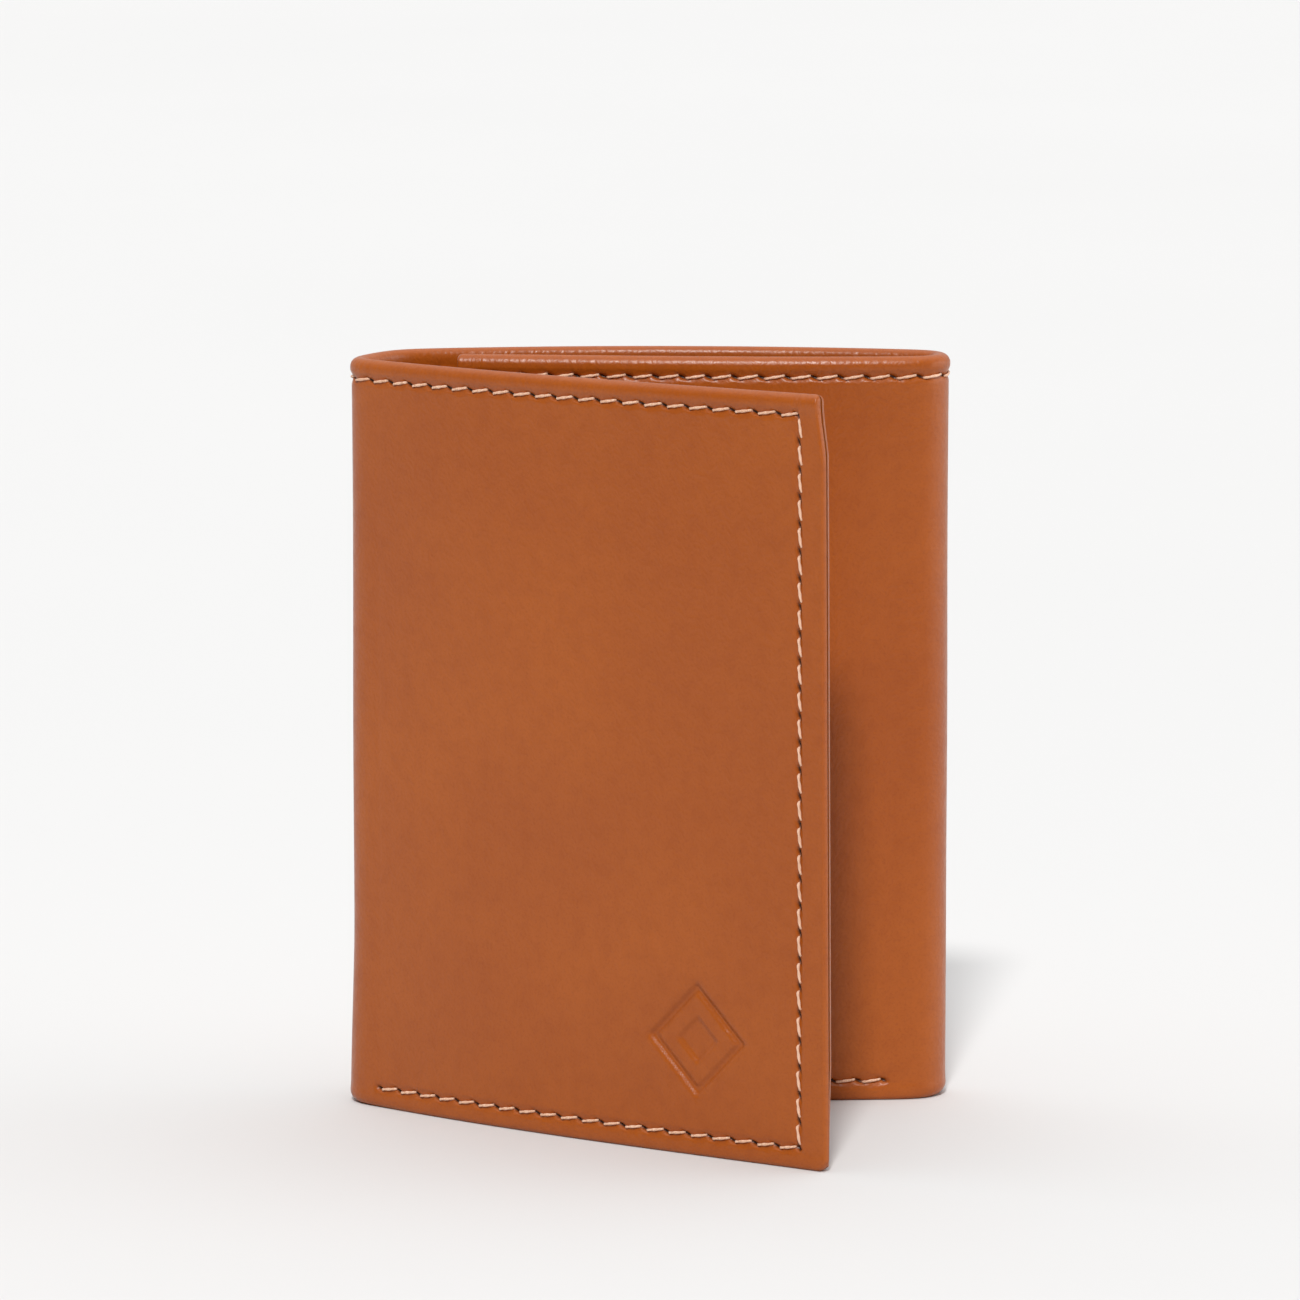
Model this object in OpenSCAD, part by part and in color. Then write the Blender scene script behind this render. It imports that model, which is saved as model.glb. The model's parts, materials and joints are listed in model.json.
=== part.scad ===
// Leather trifold wallet, standing on its bottom edge with the cover ajar.
// Every panel is a stack of thin bowed layers. A layer's place in the stack is its depth,
// counted from the middle of the outer leather towards the inside of the wallet.

/* [Wallet] */
// Height of the outer leather
wallet_h = 108; // [90:1:120]
// Height of the turned hem along the top edge
hem_h = 9; // [6:0.5:12]
// Gap left between two layers that meet at a fold
fold_gap = 0.3; // [0.2:0.05:0.6]

/* [Middle panel] */
// Radius of the middle panel's outward bow
middle_r = 150; // [120:5:400]
// Distance from the centre line to the left rear crease
middle_left = 37.2; // [34:0.2:38]
// Distance from the centre line to the right rear crease
middle_right = 42.4; // [40:0.2:43]

/* [Left fold and cover] */
// Depth of the left fold, from crease to crease
left_fold_w = 13.4; // [12:0.2:15]
// Direction in which the left fold runs from its rear crease
left_fold_dir = 245; // [243:1:248]
// Length of the cover from its crease to its free edge
cover_len = 84.8; // [80:0.2:86]
// Direction in which the cover runs from its crease
cover_dir = -37.2; // [-42:0.2:-37]
// Radius of the cover's outward bow
cover_r = 400; // [250:10:600]

/* [Right fold and flap] */
// Depth of the right fold, from crease to crease
right_fold_w = 8.7; // [8:0.1:9.5]
// Direction in which the right fold runs from its rear crease
right_fold_dir = -96; // [-98:1:-92]
// Length of the flap that is folded inside the wallet
flap_len = 71; // [66:0.5:72]
// How far the flap's free edge leans in towards the middle panel, in degrees
flap_tilt = 2.5; // [1.5:0.1:3]
// Radius of the flap's outward bow
flap_r = 400; // [350:10:800]

/* [Layers] */
// Thickness of the outer leather
leather_t = 1.2; // [1:0.1:1.3]
// Thickness of the hem where the leather is turned in
hem_t = 0.8; // [0.5:0.1:0.9]
// Thickness of the woven lining
lining_t = 0.4; // [0.3:0.1:0.5]
// Room for notes between the lining and the inner panel
note_gap = 0.6; // [0.5:0.1:0.8]
// Thickness of the inner panel and of each card pocket
pocket_t = 0.5; // [0.4:0.05:0.5]

/* [Pockets] */
// Height of the front card pocket's opening above the bottom edge
pocket_h = 68; // [60:1:75]
// Height from one card pocket's opening to the next one's
pocket_step = 9; // [6:0.5:10]
// Width of the clear identity window
window_w = 48; // [44:1:52]
// Height of the clear identity window
window_h = 76; // [70:1:80]
// Thickness of the clear window and of the card behind it
window_t = 0.3; // [0.2:0.05:0.3]

/* [Stitching] */
// Distance between the starts of two stitches
stitch_pitch = 3.75; // [3:0.05:5]
// Length of the visible part of a stitch
stitch_l = 2.7; // [2:0.1:2.8]
// Thickness of the thread
stitch_t = 0.4; // [0.3:0.05:0.5]
// Distance from an edge to its row of stitches
stitch_inset = 2.9; // [2.5:0.1:4]

/* [Hidden] */
$fn = 96;

leather_colour = [0.67, 0.35, 0.16];
lining_colour = [0.30, 0.20, 0.14];
pocket_colour = [0.60, 0.31, 0.14];
thread_colour = [0.93, 0.80, 0.64];
window_colour = [0.85, 0.88, 0.88, 0.35];

// Depths of the layers' faces, from the outside in
outer_face = -leather_t / 2;
inner_face = leather_t / 2;
lining_face = inner_face + lining_t;
hem_face = inner_face + hem_t;
panel_back = lining_face + note_gap;
panel_face = panel_back + pocket_t;
window_back = panel_face + window_t;
window_face = window_back + window_t;
frame_face = window_face + pocket_t;
thread_gap = 0.05;
thread_face = outer_face - thread_gap;
// The hem is drawn a little into the leather that it is folded from, so the two are one solid
hem_back = inner_face - 0.1;

// Heights
lining_low = 1.5;
panel_low = 1;
panel_top = wallet_h - 4;
edge_w = 4.5;
pocket_low = 3;
window_low = 12;
frame_border = 6;

// Local turning of the leather at each crease, which sets how far the layers stand back
left_rear_turn = 52;
left_mid_turn = 36;
left_front_turn = 68;
right_turn = 84;

// Margins between a crease or a free edge and the pockets
cover_pocket = [8, 76];
middle_pocket = [-30, 33];
flap_frame = [5.5, 5.5 + window_w + 2 * frame_border];

function bow_angle(radius, len) = asin(len / 2 / radius);
function drop(x) = middle_r - sqrt(middle_r * middle_r - x * x);
function along(dir, len) = [len * cos(dir), len * sin(dir)];
function setback(depth, turn) = fold_gap + max(depth, 0) * tan(turn / 2);

left_rear = [-middle_left, -drop(middle_left)];
left_mid = left_rear + along(left_fold_dir, left_fold_w / 2);
left_front = left_rear + along(left_fold_dir, left_fold_w);
right_rear = [middle_right, -drop(middle_right)];
right_front = right_rear + along(right_fold_dir, right_fold_w);
flap_dir = 180 - flap_tilt;

// A layer of the middle panel, between two distances to the right of its centre line
module middle_layer(depth, span, z) {
    from = asin(span[0] / middle_r);
    to = asin(span[1] / middle_r);
    translate([0, -middle_r, 0])
        rotate([0, 0, 90 - to])
            rotate_extrude(angle = to - from)
                translate([middle_r - depth[1], z[0]])
                    square([depth[1] - depth[0], z[1] - z[0]]);
}

// A layer of a bowed panel whose chord starts at the origin and runs along +X,
// between two distances from its crease, with the inside of the wallet towards +Y
module bowed_layer(radius, len, depth, span, z) {
    half = bow_angle(radius, len);
    turn_per_mm = 2 * half / len;
    from = span[0] * turn_per_mm - half;
    to = span[1] * turn_per_mm - half;
    translate([len / 2, radius * cos(half), 0])
        rotate([0, 0, from - 90])
            rotate_extrude(angle = to - from)
                translate([radius - depth[1], z[0]])
                    square([depth[1] - depth[0], z[1] - z[0]]);
}

// A flat layer of a fold, between two distances from its rear crease
module flat_layer(depth, span, z) {
    translate([span[0], depth[0], z[0]])
        cube([span[1] - span[0], depth[1] - depth[0], z[1] - z[0]]);
}

// Places a child that is drawn along +X, with the inside towards +Y
module place(start, dir, inside = 1) {
    translate([start[0], start[1], 0])
        rotate([0, 0, dir])
            mirror([0, inside > 0 ? 0 : 1, 0])
                children();
}

module on_left_fold() place(left_rear, left_fold_dir) children();
module on_cover() place(left_front, cover_dir) children();
module on_right_fold() place(right_rear, right_fold_dir, -1) children();
module on_flap() place(right_front, flap_dir, -1) children();

module cover_layer(depth, span, z) on_cover() bowed_layer(cover_r, cover_len, depth, span, z);
module flap_layer(depth, span, z) on_flap() bowed_layer(flap_r, flap_len, depth, span, z);

// Spans of a layer between the creases, for a layer whose inner face is at a given depth
function middle_span(depth) =
    [-middle_left + setback(depth, left_rear_turn), middle_right - setback(depth, right_turn)];
function cover_span(depth) = [setback(depth, left_front_turn), cover_len];
function flap_span(depth) = [setback(depth, right_turn), flap_len];
function left_rear_span(depth) =
    [setback(depth, left_rear_turn), left_fold_w / 2 - setback(depth, left_mid_turn)];
function left_front_span(depth) =
    [left_fold_w / 2 + setback(depth, left_mid_turn), left_fold_w - setback(depth, left_front_turn)];
function right_span(depth) =
    [setback(depth, right_turn), right_fold_w - setback(depth, right_turn)];

leather_z = [0, wallet_h];
hem_z = [wallet_h - hem_h, wallet_h];
lining_z = [lining_low, wallet_h - hem_h];
panel_z = [panel_low, panel_top];
foot_z = [panel_low, panel_low + edge_w];

// The note compartment behind an inner panel, which is cut out of a thicker slab.
// It's closed along the bottom and the free edge, and open above the hem's lower edge.
cut = 1;
note_depth = [lining_face - cut, panel_back];
note_z = [panel_low + edge_w, panel_top + cut];
beside_hem_z = [wallet_h - hem_h, panel_top + cut];

// What is cut away where the cover's leather isn't doubled by its hem
beyond_leather = [inner_face, hem_face + cut];
below_hem_z = [-cut, wallet_h - hem_h];

// Pocket 1 is the rearmost and tallest of a panel's three, pocket 3 the foremost
function pocket_depth(i) = [panel_face + (i - 1) * pocket_t, panel_face + i * pocket_t];
function pocket_z(i) = [pocket_low, pocket_h + (3 - i) * pocket_step];

// ---- middle panel ----
module middle_leather() {
    color(leather_colour) {
        middle_layer([outer_face, inner_face], middle_span(inner_face), leather_z);
        middle_layer([hem_back, hem_face], middle_span(hem_face), hem_z);
    }
}

module middle_lining() {
    color(lining_colour)
        middle_layer([inner_face, lining_face], middle_span(lining_face), lining_z);
}

module middle_inner_panel() {
    color(pocket_colour) {
        middle_layer([panel_back, panel_face], middle_span(panel_face), panel_z);
        middle_layer([lining_face, panel_back], middle_span(panel_face), foot_z);
    }
}

module middle_card_pocket(i) {
    color(pocket_colour)
        middle_layer(pocket_depth(i), middle_pocket, pocket_z(i));
}

// ---- left fold ----
module left_fold_leather(span_inner, span_hem) {
    color(leather_colour)
        on_left_fold() {
            flat_layer([outer_face, inner_face], span_inner, leather_z);
            flat_layer([hem_back, hem_face], span_hem, hem_z);
        }
}

module left_fold_rear_leather() left_fold_leather(left_rear_span(inner_face), left_rear_span(hem_face));
module left_fold_front_leather() left_fold_leather(left_front_span(inner_face), left_front_span(hem_face));

module left_fold_rear_lining() {
    color(lining_colour)
        on_left_fold()
            flat_layer([inner_face, lining_face], left_rear_span(lining_face), lining_z);
}

module left_fold_front_lining() {
    color(lining_colour)
        on_left_fold()
            flat_layer([inner_face, lining_face], left_front_span(lining_face), lining_z);
}

module left_fold_rear_inner() {
    color(pocket_colour)
        on_left_fold()
            flat_layer([panel_back, panel_face], left_rear_span(panel_face), panel_z);
}

module left_fold_front_inner() {
    color(pocket_colour)
        on_left_fold()
            flat_layer([panel_back, panel_face], left_front_span(panel_face), panel_z);
}

// ---- cover ----
module cover_leather() {
    color(leather_colour)
        difference() {
            cover_layer([outer_face, hem_face], cover_span(inner_face), leather_z);
            cover_layer(beyond_leather, [-cut, cover_len + cut], below_hem_z);
            cover_layer(beyond_leather, [-cut, cover_span(hem_face)[0]], [-cut, wallet_h + cut]);
        }
}

module cover_lining() {
    color(lining_colour)
        cover_layer([inner_face, lining_face], cover_span(lining_face), lining_z);
}

module cover_inner_panel() {
    color(pocket_colour)
        difference() {
            cover_layer([lining_face, panel_face], cover_span(panel_face), panel_z);
            cover_layer(note_depth, [-cut, cover_len - edge_w], note_z);
            cover_layer(note_depth, [-cut, cover_len + cut], beside_hem_z);
        }
}

module cover_card_pocket(i) {
    color(pocket_colour)
        cover_layer(pocket_depth(i), cover_pocket, pocket_z(i));
}

// ---- right fold ----
module right_fold_leather() {
    color(leather_colour)
        on_right_fold() {
            flat_layer([outer_face, inner_face], right_span(inner_face), leather_z);
            flat_layer([hem_back, hem_face], right_span(hem_face), hem_z);
        }
}

module right_fold_lining() {
    color(lining_colour)
        on_right_fold()
            flat_layer([inner_face, lining_face], right_span(lining_face), lining_z);
}

module right_fold_inner() {
    color(pocket_colour)
        on_right_fold()
            flat_layer([panel_back, panel_face], right_span(panel_face), panel_z);
}

// ---- flap ----
module flap_leather() {
    color(leather_colour) {
        flap_layer([outer_face, inner_face], flap_span(inner_face), leather_z);
        flap_layer([hem_back, hem_face], flap_span(hem_face), hem_z);
    }
}

module flap_lining() {
    color(lining_colour)
        flap_layer([inner_face, lining_face], flap_span(lining_face), lining_z);
}

module flap_inner_panel() {
    color(pocket_colour)
        difference() {
            flap_layer([lining_face, panel_face], flap_span(panel_face), panel_z);
            flap_layer(note_depth, [-cut, flap_len - edge_w], note_z);
            flap_layer(note_depth, [-cut, flap_len + cut], beside_hem_z);
        }
}

frame_z = [window_low - frame_border, window_low + window_h + frame_border];
film_inset = 2;
film_span = [flap_frame[0] + film_inset, flap_frame[1] - film_inset];
film_z = [frame_z[0] + film_inset, frame_z[1] - film_inset];

module id_card_backing() {
    color(lining_colour)
        flap_layer([panel_face, window_back], film_span, film_z);
}

module id_window() {
    color(window_colour)
        flap_layer([window_back, window_face], film_span, film_z);
}

module id_window_frame() {
    color(pocket_colour)
        difference() {
            flap_layer([window_face, frame_face], flap_frame, frame_z);
            flap_layer(
                [window_face - cut, frame_face + cut],
                [flap_frame[0] + frame_border, flap_frame[1] - frame_border],
                [window_low, window_low + window_h]
            );
        }
}

// ---- stitching ----
// A stitch lies on the outer face, centred at a distance along its panel
function stitch_starts(from, to) = [
    for (i = [0 : floor((to - from - stitch_l) / stitch_pitch)]) from + i * stitch_pitch
];
thread_depth = [thread_face - stitch_t, thread_face];
function level_z(z) = [z - stitch_t / 2, z + stitch_t / 2];
top_row = level_z(wallet_h - stitch_inset);
bottom_row = level_z(stitch_inset);
// Distances from a free edge to the column of stitches beside it
cover_edge_inset = 4.6;
flap_edge_inset = 4;
cover_column = cover_len - cover_edge_inset;
flap_column = flap_len - flap_edge_inset;
// Distances from a crease to the first stitch of a row
top_row_inset = 1;
bottom_row_inset = 6;

module middle_thread() {
    color(thread_colour) {
        for (x = stitch_starts(top_row_inset - middle_left, middle_right - top_row_inset))
            middle_layer(thread_depth, [x, x + stitch_l], top_row);
        for (x = stitch_starts(bottom_row_inset - middle_left, middle_right - bottom_row_inset))
            middle_layer(thread_depth, [x, x + stitch_l], bottom_row);
    }
}

module left_fold_rear_thread() {
    color(thread_colour)
        on_left_fold()
            for (u = stitch_starts(top_row_inset, left_fold_w / 2))
                flat_layer(thread_depth, [u, u + stitch_l], top_row);
}

module left_fold_front_thread() {
    color(thread_colour)
        on_left_fold()
            for (u = stitch_starts(left_fold_w / 2 + top_row_inset, left_fold_w))
                flat_layer(thread_depth, [u, u + stitch_l], top_row);
}

module right_fold_thread() {
    color(thread_colour)
        on_right_fold()
            for (u = stitch_starts(top_row_inset, right_fold_w))
                flat_layer(thread_depth, [u, u + stitch_l], top_row);
}

module cover_thread() {
    color(thread_colour) {
        for (u = stitch_starts(top_row_inset, cover_column - stitch_t))
            cover_layer(thread_depth, [u, u + stitch_l], top_row);
        for (u = stitch_starts(bottom_row_inset, cover_column - stitch_t))
            cover_layer(thread_depth, [u, u + stitch_l], bottom_row);
        for (z = stitch_starts(stitch_inset, wallet_h - stitch_inset - stitch_t))
            cover_layer(thread_depth, [cover_column, cover_column + stitch_t], [z, z + stitch_l]);
    }
}

module flap_thread() {
    color(thread_colour) {
        for (u = stitch_starts(top_row_inset, flap_column - stitch_t))
            flap_layer(thread_depth, [u, u + stitch_l], top_row);
        for (u = stitch_starts(bottom_row_inset, flap_column - stitch_t))
            flap_layer(thread_depth, [u, u + stitch_l], bottom_row);
        for (z = stitch_starts(stitch_inset, wallet_h - stitch_inset - stitch_t))
            flap_layer(thread_depth, [flap_column, flap_column + stitch_t], [z, z + stitch_l]);
    }
}

middle_leather();
middle_lining();
middle_inner_panel();
middle_card_pocket(1);  // middle_card_pocket_1
middle_card_pocket(2);  // middle_card_pocket_2
middle_card_pocket(3);  // middle_card_pocket_3
middle_thread();
left_fold_rear_leather();
left_fold_rear_lining();
left_fold_rear_inner();
left_fold_front_leather();
left_fold_front_lining();
left_fold_front_inner();
left_fold_rear_thread();
left_fold_front_thread();
cover_leather();
cover_lining();
cover_inner_panel();
cover_card_pocket(1);  // cover_card_pocket_1
cover_card_pocket(2);  // cover_card_pocket_2
cover_card_pocket(3);  // cover_card_pocket_3
cover_thread();
right_fold_leather();
right_fold_lining();
right_fold_inner();
right_fold_thread();
flap_leather();
flap_lining();
flap_inner_panel();
id_card_backing();
id_window();
id_window_frame();
flap_thread();
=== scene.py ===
import json
import math

import bmesh
import bpy
import numpy as np
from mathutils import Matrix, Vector


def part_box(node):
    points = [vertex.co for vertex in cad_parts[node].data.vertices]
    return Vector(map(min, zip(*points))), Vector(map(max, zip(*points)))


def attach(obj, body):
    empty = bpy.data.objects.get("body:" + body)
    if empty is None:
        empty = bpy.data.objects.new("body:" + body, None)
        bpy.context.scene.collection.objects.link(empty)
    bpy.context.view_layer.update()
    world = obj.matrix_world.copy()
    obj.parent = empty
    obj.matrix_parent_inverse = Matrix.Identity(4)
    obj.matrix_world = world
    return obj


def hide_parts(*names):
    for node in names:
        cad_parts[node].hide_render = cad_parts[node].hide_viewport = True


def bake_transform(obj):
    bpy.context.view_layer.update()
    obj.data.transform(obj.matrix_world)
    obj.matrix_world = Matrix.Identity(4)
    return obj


# A leather trifold wallet. Every layer is a strip swept along one curve, the middle surface of
# the outer leather seen from above. A point of a layer has three coordinates, in millimetres:
#   s  the distance along that curve, from the cover's free edge to the flap's free edge
#   t  the depth from the curve, positive towards the inside of the wallet
#   z  the height
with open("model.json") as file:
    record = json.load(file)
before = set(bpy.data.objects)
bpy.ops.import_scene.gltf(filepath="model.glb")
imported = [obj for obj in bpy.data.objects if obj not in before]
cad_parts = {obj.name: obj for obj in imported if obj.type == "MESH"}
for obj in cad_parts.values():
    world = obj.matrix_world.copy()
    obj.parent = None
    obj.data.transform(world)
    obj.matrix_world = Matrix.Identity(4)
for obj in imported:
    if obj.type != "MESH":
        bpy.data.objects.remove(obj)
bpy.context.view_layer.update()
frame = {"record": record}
MM = 0.001
JOINTS = {j["name"]: np.array(j["pos_m"][:2]) / MM for j in frame["record"]["behaviour"]["joints"]}
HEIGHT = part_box("cover_leather")[1].z / MM

# ---- sizes ----
# Each outer panel's chord, from its crease to its free edge, and the chord's direction
COVER_LENGTH = 84.8
COVER_DIRECTION = math.radians(-37.2)
FLAP_LENGTH = 71.0
FLAP_DIRECTION = math.radians(177.5)

# How far each stretch bows outwards, and how far the bow's peak moves towards the stretch's end
COVER_RISE, COVER_SKEW = 2.0, 0.45
MIDDLE_RISE = 5.4
RIGHT_FOLD_RISE = 0.2
FLAP_RISE, FLAP_SKEW = 2.0, -0.5

# The smoothing of the curve: its width on the panels, its width at each crease, and how far
# a crease's own width reaches
PATH_STEP = 0.25
OVERRUN = 8.0
PANEL_SOFTNESS, MOST_SOFTNESS = 0.8, 3.2
CREASE_REACH = 9.0
CREASE_SOFTNESS = {
    "left_front_crease": 2.3,
    "left_rear_crease": 3.2,
    "right_rear_crease": 2.5,
    "right_front_crease": 2.6,
}

# Depths of the layers' faces
HALF_LEATHER = 0.6
OUTER_FACE, INNER_FACE = -HALF_LEATHER, HALF_LEATHER
LINING_FACE = 1.0
SIDE_HEM_FACE = 1.3
HEM_FACE = 1.4
PANEL_BACK, PANEL_FACE = 1.6, 2.1
POCKET_LAYER = 0.5
FILM_BACK, FILM_FACE, FRAME_FACE = 2.4, 2.7, 3.3
# The depths between which every layer lies where two segments meet
SEAM_DEPTHS = (-1.2, 0.0, 2.4)
# The gap that is left between two layers, so that they don't share a face
SKIN = 0.03

# Heights
HEM_LOW = HEIGHT - 9.0
LINING_LOW = 1.5
PANEL_LOW, PANEL_TOP = 1.0, HEIGHT - 4.0
POCKET_LOW = 3.0
POCKET_TOPS = (86.0, 77.0, 68.0)

# Distances from a free edge: the width of the turned hem, the inner panel's setback, and how
# far in the shape of the edge is felt
SIDE_HEM_WIDTH = 6.5
PANEL_SETBACK = 1.2
EDGE_REACH = 7.0

# Distances from the cover's crease, or from the middle of the middle panel, to the pockets' sides
COVER_POCKETS = (75.5, 8.0)
MIDDLE_POCKETS = (30.0, 33.0)

# The identity window: the height of its lower edge, its size, its frame's width and its place
WINDOW_LOW, WINDOW_W, WINDOW_H, BORDER = 12.0, 48.0, 76.0, 6.0
WINDOW_SETBACK = 5.5
SHEET_INSET = 2.0

# Stitching. A needle slit slants across its row by SLIT_SLOPE
PITCH = 3.75
STITCH_SHARE = 0.76
TURN_SPREAD, LENGTH_SPREAD = 0.012, 0.025
THREAD_RADIUS = 0.19
THREAD_SINK, INNER_SINK = 0.16, 0.10
INSET = 2.9
COVER_COLUMN = 4.6
FLAP_COLUMN = 4.0
SLANT = math.radians(9)
SLIT_SLOPE = 0.42
ROW_FADE = 0.8
PANEL_GROOVE, PANEL_DIMPLE = 0.12, 0.2

# The debossed mark: the place of its middle, its half diagonal, and the slope of its sides
MARK_S, MARK_Z, MARK_SIZE = 21.5, 16.5, 8.2
MARK_SLOPE = 0.35

# The column spacing of the outer leather, and offsets of close rows and columns over a stitch row
COLUMN_STEP = 0.3
ROW_STEPS = {"cover": 0.3, "flap": 0.45}
PLAIN_ROW_STEP = 2.0
FINE_OFFSETS = np.arange(-1.2, 1.21, 0.15)

# The studio's walls: the direction's axis, where the wall starts and ends along it, and the
# brightness before and after
WALLS = (
    ("Y", -0.7, 0.6, 0.02, 0.66),
    ("Z", 0.55, 0.95, 0.0, 1.0),
    ("X", 0.75, 0.97, 0.0, 1.9),
)


def smooth(x):
    """0 below 0, 1 above 1 and a smooth step between them."""
    x = np.clip(x, 0.0, 1.0)
    return x * x * (3 - 2 * x)


def bell(x, width):
    """A bump of height 1 at 0."""
    return np.exp(-((x / width) ** 2))


def corner(near, radius):
    """How far a round corner draws in, where near grows from 0 at its start to radius at its end."""
    return radius - np.sqrt(np.maximum(radius**2 - np.clip(near, 0, radius) ** 2, 0))


# ---- the curve ----
def direction(angle):
    return np.array([math.cos(angle), math.sin(angle)])


def bowed(start, end, rise, skew):
    """Points from start to end, bowed to the left, which is the outside."""
    chord = end - start
    length = np.linalg.norm(chord)
    x = np.linspace(0, 1, int(length / PATH_STEP) + 1)[:, None]
    left = np.array([-chord[1], chord[0]]) / length
    return start + x * chord + 4 * rise * x * (1 - x) * (1 + skew * (2 * x - 1)) * left


def crease_softness(points):
    """How far the leather rounds the curve at each point, as the width of the smoothing there."""
    width = np.full(len(points), PANEL_SOFTNESS)
    for name, soft in CREASE_SOFTNESS.items():
        away = np.linalg.norm(points - JOINTS[name], axis=1)
        width += (soft - PANEL_SOFTNESS) * bell(away, CREASE_REACH)
    return np.clip(width, 0, MOST_SOFTNESS)


def make_curve():
    """The curve as dense points, with the distance along it and the inward normals."""
    front, rear = JOINTS["left_front_crease"], JOINTS["left_rear_crease"]
    right_rear, right_front = JOINTS["right_rear_crease"], JOINTS["right_front_crease"]
    cover_edge = front + COVER_LENGTH * direction(COVER_DIRECTION)
    flap_edge = right_front + FLAP_LENGTH * direction(FLAP_DIRECTION)
    stretches = (
        bowed(cover_edge, front, COVER_RISE, COVER_SKEW),
        bowed(front, rear, 0.0, 0.0),
        bowed(rear, right_rear, MIDDLE_RISE, 0.0),
        bowed(right_rear, right_front, RIGHT_FOLD_RISE, 0.0),
        bowed(right_front, flap_edge, FLAP_RISE, FLAP_SKEW),
    )
    path = np.concatenate([stretch[:-1] for stretch in stretches] + [stretches[-1][-1:]])
    extra = np.arange(1, int(OVERRUN / PATH_STEP) + 1)[:, None]
    before = path[0] + (path[0] - path[1]) * extra[::-1]
    after = path[-1] + (path[-1] - path[-2]) * extra
    path = np.concatenate([before, path, after])
    share = (crease_softness(path) / MOST_SOFTNESS)[:, None] ** 2
    for _ in range(int(2 * (MOST_SOFTNESS / PATH_STEP) ** 2)):
        middle = (path[:-2] + path[2:]) / 2
        path[1:-1] += 0.5 * share[1:-1] * (middle - path[1:-1])
    path = path[len(extra) : -len(extra)]
    s = np.concatenate([[0], np.cumsum(np.linalg.norm(np.diff(path, axis=0), axis=1))])
    tangent = np.gradient(path, s, axis=0)
    tangent /= np.linalg.norm(tangent, axis=1)[:, None]
    inward = np.stack([tangent[:, 1], -tangent[:, 0]], 1)
    return path, s, inward


PATH, PATH_S, PATH_INWARD = make_curve()
END = PATH_S[-1]


def place(s, t, z):
    """Points in metres in the frame for s, t and z. The curve goes on straight past its ends."""
    s, t, z = np.broadcast_arrays(s, t, z)
    x = np.interp(s, PATH_S, PATH[:, 0])
    y = np.interp(s, PATH_S, PATH[:, 1])
    nx = np.interp(s, PATH_S, PATH_INWARD[:, 0])
    ny = np.interp(s, PATH_S, PATH_INWARD[:, 1])
    past = np.where(s < 0, s, np.where(s > END, s - END, 0.0))
    return np.stack([x + nx * t - ny * past, y + ny * t + nx * past, z], -1) * MM


def nearest(point):
    """The distance along the curve of its nearest point to a point seen from above."""
    return PATH_S[np.argmin(np.linalg.norm(PATH - point, axis=1))]


S_FRONT = nearest(JOINTS["left_front_crease"])
S_MID = nearest(JOINTS["left_middle_crease"])
S_REAR = nearest(JOINTS["left_rear_crease"])
S_RIGHT_REAR = nearest(JOINTS["right_rear_crease"])
S_RIGHT_FRONT = nearest(JOINTS["right_front_crease"])
S_CENTRE = nearest(np.zeros(2))


# ---- segments: a layer is cut between two creases, where it rides on one body ----
class Segment:
    """A stretch of the curve with one crease in it, from body a before the crease to body b after
    it. Its layers replace the CAD layers of the bodies called owners."""

    def __init__(self, name, low, high, a, b, crease, reach, owners):
        self.name, self.low, self.high = name, low, high
        self.a, self.b, self.owners = a, b, owners
        self.open_low, self.open_high = low > 0, high < END
        before, after = reach
        step = 0.05
        while self.turns(crease - before, crease + after, low)[0] > 0:
            before -= step
        while self.turns(crease - before, crease + after, high)[1] < 1:
            after -= step
        self.start = place(crease - before, 0.0, 0.0)
        self.end = place(crease + after, 0.0, 0.0)

    @staticmethod
    def turns(start, end, s):
        """The largest and smallest share of the way from start to end that the layers at s have
        come. Where a segment meets the next one, every layer must follow the body they share."""
        first, last = place(start, 0.0, 0.0), place(end, 0.0, 0.0)
        layers = place(s, np.array(SEAM_DEPTHS), 0.0)
        way = last - first
        share = (layers - first) @ way / (way @ way)
        return share.max(), share.min()

    def holds(self, s):
        return (s >= self.low) & (s < self.high)


CUT_FRONT = (S_FRONT + S_MID) / 2
CUT_REAR = (S_MID + S_REAR) / 2
CUT_RIGHT = (S_RIGHT_REAR + S_RIGHT_FRONT) / 2
SEGMENTS = (
    Segment("cover", 0.0, CUT_FRONT, "cover", "left_fold_front", S_FRONT, (4.0, 2.9), ("cover",)),
    Segment(
        "left_fold", CUT_FRONT, CUT_REAR, "left_fold_front", "left_fold_rear",
        S_MID, (2.8, 2.8), ("left_fold_front",),
    ),
    Segment(
        "middle_left", CUT_REAR, S_CENTRE, "left_fold_rear", "middle",
        S_REAR, (2.9, 4.5), ("left_fold_rear", "middle"),
    ),
    Segment(
        "middle_right", S_CENTRE, CUT_RIGHT, "middle", "right_fold",
        S_RIGHT_REAR, (4.0, 3.6), ("right_fold",),
    ),
    Segment("flap", CUT_RIGHT, END, "right_fold", "flap", S_RIGHT_FRONT, (3.6, 4.0), ("flap",)),
)
PANEL_BODIES = ("cover", "middle", "flap")


def node_name(body, part):
    """The CAD node of a layer. A fold's stretch of the inner panel is just called inner."""
    if part == "inner_panel" and body not in PANEL_BODIES:
        part = "inner"
    return f"{body}_{part}"


def stand_in(piece, segment, part):
    """The piece is shaped round the segment's crease as the wallet lies at rest, and replaces the CAD
    nodes of that stretch.
    """
    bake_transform(piece)
    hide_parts(*[node_name(owner, part) for owner in segment.owners])


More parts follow.
